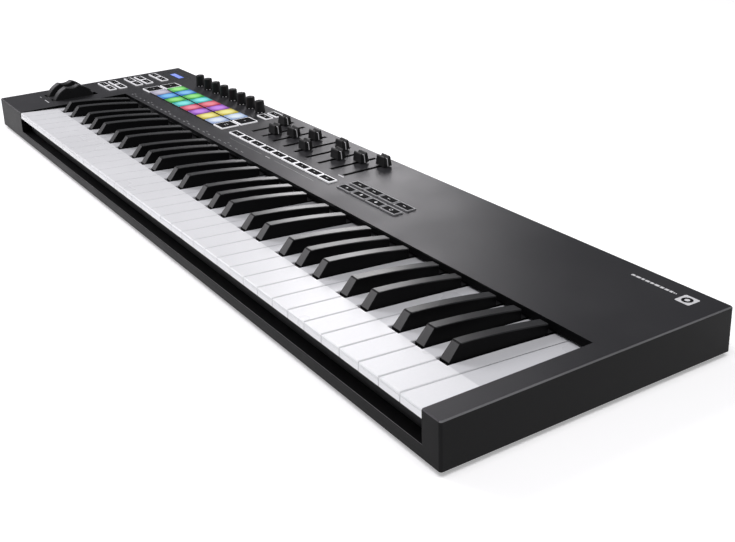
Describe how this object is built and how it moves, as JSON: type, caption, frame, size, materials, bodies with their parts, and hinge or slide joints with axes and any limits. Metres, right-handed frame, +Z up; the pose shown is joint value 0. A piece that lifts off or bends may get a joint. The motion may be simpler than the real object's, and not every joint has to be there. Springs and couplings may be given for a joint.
{
  "type": "synthesizer",
  "caption": "Flat dark keyboard synthesizer and controller with a sprung keybed, two wheels, lit pads, knobs, sliding faders and rubber buttons in its top panel.",
  "frame": {"origin": "centre of the case's footprint, on the surface that the feet stand on", "axes": "+X along the keyboard towards the treble end, +Y from the player to the back, +Z up"},
  "size_m": [0.955, 0.258, 0.055],
  "materials": {
    "case_plastic": "fine satin texture",
    "chassis_plastic": "moulded matt",
    "key_plastic": "smooth satin gloss",
    "sharp_plastic": "fine matt",
    "rubber": "matt",
    "steel": "plain",
    "felt": "pressed felt",
    "board": "solder mask",
    "silicone": "matt",
    "cable": "flat ribbon",
    "screen": "backlit",
    "window": "polished",
    "port_metal": "plain",
    "port_plastic": "matt",
    "sensor_metal": "plain",
    "button_silicone": "translucent silicone with dark tops",
    "pad_silicone": "translucent silicone lit from below",
    "knob_plastic": "soft touch",
    "wheel_rubber": "soft touch"
  },
  "bodies": {
    "case": {"top_case": "case_plastic", "bottom_case": "case_plastic", "rubber_feet": "rubber", "case_screws": "steel", "key_chassis": "chassis_plastic", "key_pivot_rod": "steel", "key_spring_comb": "steel", "key_felts": "felt", "key_contact_board": "board", "key_contact_strips": "silicone", "control_boards": "board", "ribbon_cables": "cable", "display_module": "screen", "display_window": "window", "usb_port": "port_metal", "midi_port": "port_plastic", "sustain_jack": "port_plastic", "rotary_pots": "sensor_metal", "fader_bodies": "sensor_metal", "wheel_bracket": "chassis_plastic"},
    "naturals_cegb_1": {"naturals_cegb_1": "key_plastic"},
    "naturals_dfa_1": {"naturals_dfa_1": "key_plastic"},
    "sharps_1": {"sharps_1": "sharp_plastic"},
    "naturals_cegb_2": {"naturals_cegb_2": "key_plastic"},
    "naturals_dfa_2": {"naturals_dfa_2": "key_plastic"},
    "sharps_2": {"sharps_2": "sharp_plastic"},
    "naturals_cegb_3": {"naturals_cegb_3": "key_plastic"},
    "naturals_dfa_3": {"naturals_dfa_3": "key_plastic"},
    "sharps_3": {"sharps_3": "sharp_plastic"},
    "naturals_cegb_4": {"naturals_cegb_4": "key_plastic"},
    "naturals_dfa_4": {"naturals_dfa_4": "key_plastic"},
    "sharps_4": {"sharps_4": "sharp_plastic"},
    "naturals_cegb_5": {"naturals_cegb_5": "key_plastic"},
    "naturals_dfa_5": {"naturals_dfa_5": "key_plastic"},
    "sharps_5": {"sharps_5": "sharp_plastic"},
    "left_buttons": {"left_buttons": "button_silicone"},
    "mode_buttons": {"mode_buttons": "button_silicone"},
    "fader_buttons": {"fader_buttons": "button_silicone"},
    "transport_buttons": {"transport_buttons": "button_silicone"},
    "pads_front": {"pads_front": "pad_silicone"},
    "pads_rear": {"pads_rear": "pad_silicone"},
    "knob_1": {"knob_1": "knob_plastic"},
    "knob_2": {"knob_2": "knob_plastic"},
    "knob_3": {"knob_3": "knob_plastic"},
    "knob_4": {"knob_4": "knob_plastic"},
    "knob_5": {"knob_5": "knob_plastic"},
    "knob_6": {"knob_6": "knob_plastic"},
    "knob_7": {"knob_7": "knob_plastic"},
    "knob_8": {"knob_8": "knob_plastic"},
    "fader_1": {"fader_1": "knob_plastic"},
    "fader_2": {"fader_2": "knob_plastic"},
    "fader_3": {"fader_3": "knob_plastic"},
    "fader_4": {"fader_4": "knob_plastic"},
    "fader_5": {"fader_5": "knob_plastic"},
    "fader_6": {"fader_6": "knob_plastic"},
    "fader_7": {"fader_7": "knob_plastic"},
    "fader_8": {"fader_8": "knob_plastic"},
    "fader_9": {"fader_9": "knob_plastic"},
    "pitch_wheel": {"pitch_wheel": "wheel_rubber"},
    "mod_wheel": {"mod_wheel": "wheel_rubber"}
  },
  "joints": [
    {"name": "naturals_cegb_1_press", "type": "hinge", "parent": "case", "child": "naturals_cegb_1", "pos_m": [0, 0.056, 0.0223], "axis": [1, 0, 0], "range_deg": [0, 3.07], "stiffness_Nm_per_rad": 2, "springref_deg": -11.46},
    {"name": "naturals_dfa_1_press", "type": "hinge", "parent": "case", "child": "naturals_dfa_1", "pos_m": [0, 0.056, 0.0223], "axis": [1, 0, 0], "range_deg": [0, 3.07], "stiffness_Nm_per_rad": 1.5, "springref_deg": -11.46},
    {"name": "sharps_1_press", "type": "hinge", "parent": "case", "child": "sharps_1", "pos_m": [0, 0.056, 0.0223], "axis": [1, 0, 0], "range_deg": [0, 3.07], "stiffness_Nm_per_rad": 2.5, "springref_deg": -11.46},
    {"name": "naturals_cegb_2_press", "type": "hinge", "parent": "case", "child": "naturals_cegb_2", "pos_m": [0, 0.056, 0.0223], "axis": [1, 0, 0], "range_deg": [0, 3.07], "stiffness_Nm_per_rad": 2, "springref_deg": -11.46},
    {"name": "naturals_dfa_2_press", "type": "hinge", "parent": "case", "child": "naturals_dfa_2", "pos_m": [0, 0.056, 0.0223], "axis": [1, 0, 0], "range_deg": [0, 3.07], "stiffness_Nm_per_rad": 1.5, "springref_deg": -11.46},
    {"name": "sharps_2_press", "type": "hinge", "parent": "case", "child": "sharps_2", "pos_m": [0, 0.056, 0.0223], "axis": [1, 0, 0], "range_deg": [0, 3.07], "stiffness_Nm_per_rad": 2.5, "springref_deg": -11.46},
    {"name": "naturals_cegb_3_press", "type": "hinge", "parent": "case", "child": "naturals_cegb_3", "pos_m": [0, 0.056, 0.0223], "axis": [1, 0, 0], "range_deg": [0, 3.07], "stiffness_Nm_per_rad": 2, "springref_deg": -11.46},
    {"name": "naturals_dfa_3_press", "type": "hinge", "parent": "case", "child": "naturals_dfa_3", "pos_m": [0, 0.056, 0.0223], "axis": [1, 0, 0], "range_deg": [0, 3.07], "stiffness_Nm_per_rad": 1.5, "springref_deg": -11.46},
    {"name": "sharps_3_press", "type": "hinge", "parent": "case", "child": "sharps_3", "pos_m": [0, 0.056, 0.0223], "axis": [1, 0, 0], "range_deg": [0, 3.07], "stiffness_Nm_per_rad": 2.5, "springref_deg": -11.46},
    {"name": "naturals_cegb_4_press", "type": "hinge", "parent": "case", "child": "naturals_cegb_4", "pos_m": [0, 0.056, 0.0223], "axis": [1, 0, 0], "range_deg": [0, 3.07], "stiffness_Nm_per_rad": 2, "springref_deg": -11.46},
    {"name": "naturals_dfa_4_press", "type": "hinge", "parent": "case", "child": "naturals_dfa_4", "pos_m": [0, 0.056, 0.0223], "axis": [1, 0, 0], "range_deg": [0, 3.07], "stiffness_Nm_per_rad": 1.5, "springref_deg": -11.46},
    {"name": "sharps_4_press", "type": "hinge", "parent": "case", "child": "sharps_4", "pos_m": [0, 0.056, 0.0223], "axis": [1, 0, 0], "range_deg": [0, 3.07], "stiffness_Nm_per_rad": 2.5, "springref_deg": -11.46},
    {"name": "naturals_cegb_5_press", "type": "hinge", "parent": "case", "child": "naturals_cegb_5", "pos_m": [0, 0.056, 0.0223], "axis": [1, 0, 0], "range_deg": [0, 3.07], "stiffness_Nm_per_rad": 2.5, "springref_deg": -11.46},
    {"name": "naturals_dfa_5_press", "type": "hinge", "parent": "case", "child": "naturals_dfa_5", "pos_m": [0, 0.056, 0.0223], "axis": [1, 0, 0], "range_deg": [0, 3.07], "stiffness_Nm_per_rad": 1.5, "springref_deg": -11.46},
    {"name": "sharps_5_press", "type": "hinge", "parent": "case", "child": "sharps_5", "pos_m": [0, 0.056, 0.0223], "axis": [1, 0, 0], "range_deg": [0, 3.07], "stiffness_Nm_per_rad": 2.5, "springref_deg": -11.46},
    {"name": "left_buttons_press", "type": "slide", "parent": "case", "child": "left_buttons", "axis": [0, 0, -1], "range_m": [0, 0.001], "stiffness_N_per_m": 3000, "springref_m": -0.0005},
    {"name": "mode_buttons_press", "type": "slide", "parent": "case", "child": "mode_buttons", "axis": [0, 0, -1], "range_m": [0, 0.001], "stiffness_N_per_m": 2400, "springref_m": -0.0005},
    {"name": "fader_buttons_press", "type": "slide", "parent": "case", "child": "fader_buttons", "axis": [0, 0, -1], "range_m": [0, 0.001], "stiffness_N_per_m": 3000, "springref_m": -0.0005},
    {"name": "transport_buttons_press", "type": "slide", "parent": "case", "child": "transport_buttons", "axis": [0, 0, -1], "range_m": [0, 0.001], "stiffness_N_per_m": 3000, "springref_m": -0.0005},
    {"name": "pads_front_press", "type": "slide", "parent": "case", "child": "pads_front", "axis": [0, 0, -1], "range_m": [0, 0.0008], "stiffness_N_per_m": 8000, "springref_m": -0.0005},
    {"name": "pads_rear_press", "type": "slide", "parent": "case", "child": "pads_rear", "axis": [0, 0, -1], "range_m": [0, 0.0008], "stiffness_N_per_m": 8000, "springref_m": -0.0005},
    {"name": "knob_1_turn", "type": "hinge", "parent": "case", "child": "knob_1", "pos_m": [-0.3573, 0.108, 0.05], "axis": [0, 0, -1], "range_deg": [-150, 150]},
    {"name": "knob_2_turn", "type": "hinge", "parent": "case", "child": "knob_2", "pos_m": [-0.3332, 0.108, 0.05], "axis": [0, 0, -1], "range_deg": [-150, 150]},
    {"name": "knob_3_turn", "type": "hinge", "parent": "case", "child": "knob_3", "pos_m": [-0.3091, 0.108, 0.05], "axis": [0, 0, -1], "range_deg": [-150, 150]},
    {"name": "knob_4_turn", "type": "hinge", "parent": "case", "child": "knob_4", "pos_m": [-0.285, 0.108, 0.05], "axis": [0, 0, -1], "range_deg": [-150, 150]},
    {"name": "knob_5_turn", "type": "hinge", "parent": "case", "child": "knob_5", "pos_m": [-0.2609, 0.108, 0.05], "axis": [0, 0, -1], "range_deg": [-150, 150]},
    {"name": "knob_6_turn", "type": "hinge", "parent": "case", "child": "knob_6", "pos_m": [-0.2368, 0.108, 0.05], "axis": [0, 0, -1], "range_deg": [-150, 150]},
    {"name": "knob_7_turn", "type": "hinge", "parent": "case", "child": "knob_7", "pos_m": [-0.2127, 0.108, 0.05], "axis": [0, 0, -1], "range_deg": [-150, 150]},
    {"name": "knob_8_turn", "type": "hinge", "parent": "case", "child": "knob_8", "pos_m": [-0.1886, 0.108, 0.05], "axis": [0, 0, -1], "range_deg": [-150, 150]},
    {"name": "fader_1_slide", "type": "slide", "parent": "case", "child": "fader_1", "axis": [0, 1, 0], "range_m": [-0.038, 0.007]},
    {"name": "fader_2_slide", "type": "slide", "parent": "case", "child": "fader_2", "axis": [0, 1, 0], "range_m": [-0.0121, 0.0329]},
    {"name": "fader_3_slide", "type": "slide", "parent": "case", "child": "fader_3", "axis": [0, 1, 0], "range_m": [-0.0223, 0.0227]},
    {"name": "fader_4_slide", "type": "slide", "parent": "case", "child": "fader_4", "axis": [0, 1, 0], "range_m": [-0.0357, 0.0093]},
    {"name": "fader_5_slide", "type": "slide", "parent": "case", "child": "fader_5", "axis": [0, 1, 0], "range_m": [-0.0089, 0.0361]},
    {"name": "fader_6_slide", "type": "slide", "parent": "case", "child": "fader_6", "axis": [0, 1, 0], "range_m": [-0.04, 0.005]},
    {"name": "fader_7_slide", "type": "slide", "parent": "case", "child": "fader_7", "axis": [0, 1, 0], "range_m": [-0.0193, 0.0257]},
    {"name": "fader_8_slide", "type": "slide", "parent": "case", "child": "fader_8", "axis": [0, 1, 0], "range_m": [-0.0318, 0.0132]},
    {"name": "fader_9_slide", "type": "slide", "parent": "case", "child": "fader_9", "axis": [0, 1, 0], "range_m": [-0.0435, 0.0015]},
    {"name": "pitch_wheel_turn", "type": "hinge", "parent": "case", "child": "pitch_wheel", "pos_m": [-0.4458, -0.0486, 0.0273], "axis": [-1, 0, 0], "range_deg": [-30, 30], "stiffness_Nm_per_rad": 0.1},
    {"name": "mod_wheel_turn", "type": "hinge", "parent": "case", "child": "mod_wheel", "pos_m": [-0.418, -0.0486, 0.0273], "axis": [-1, 0, 0], "range_deg": [-35, 35]}
  ]
}
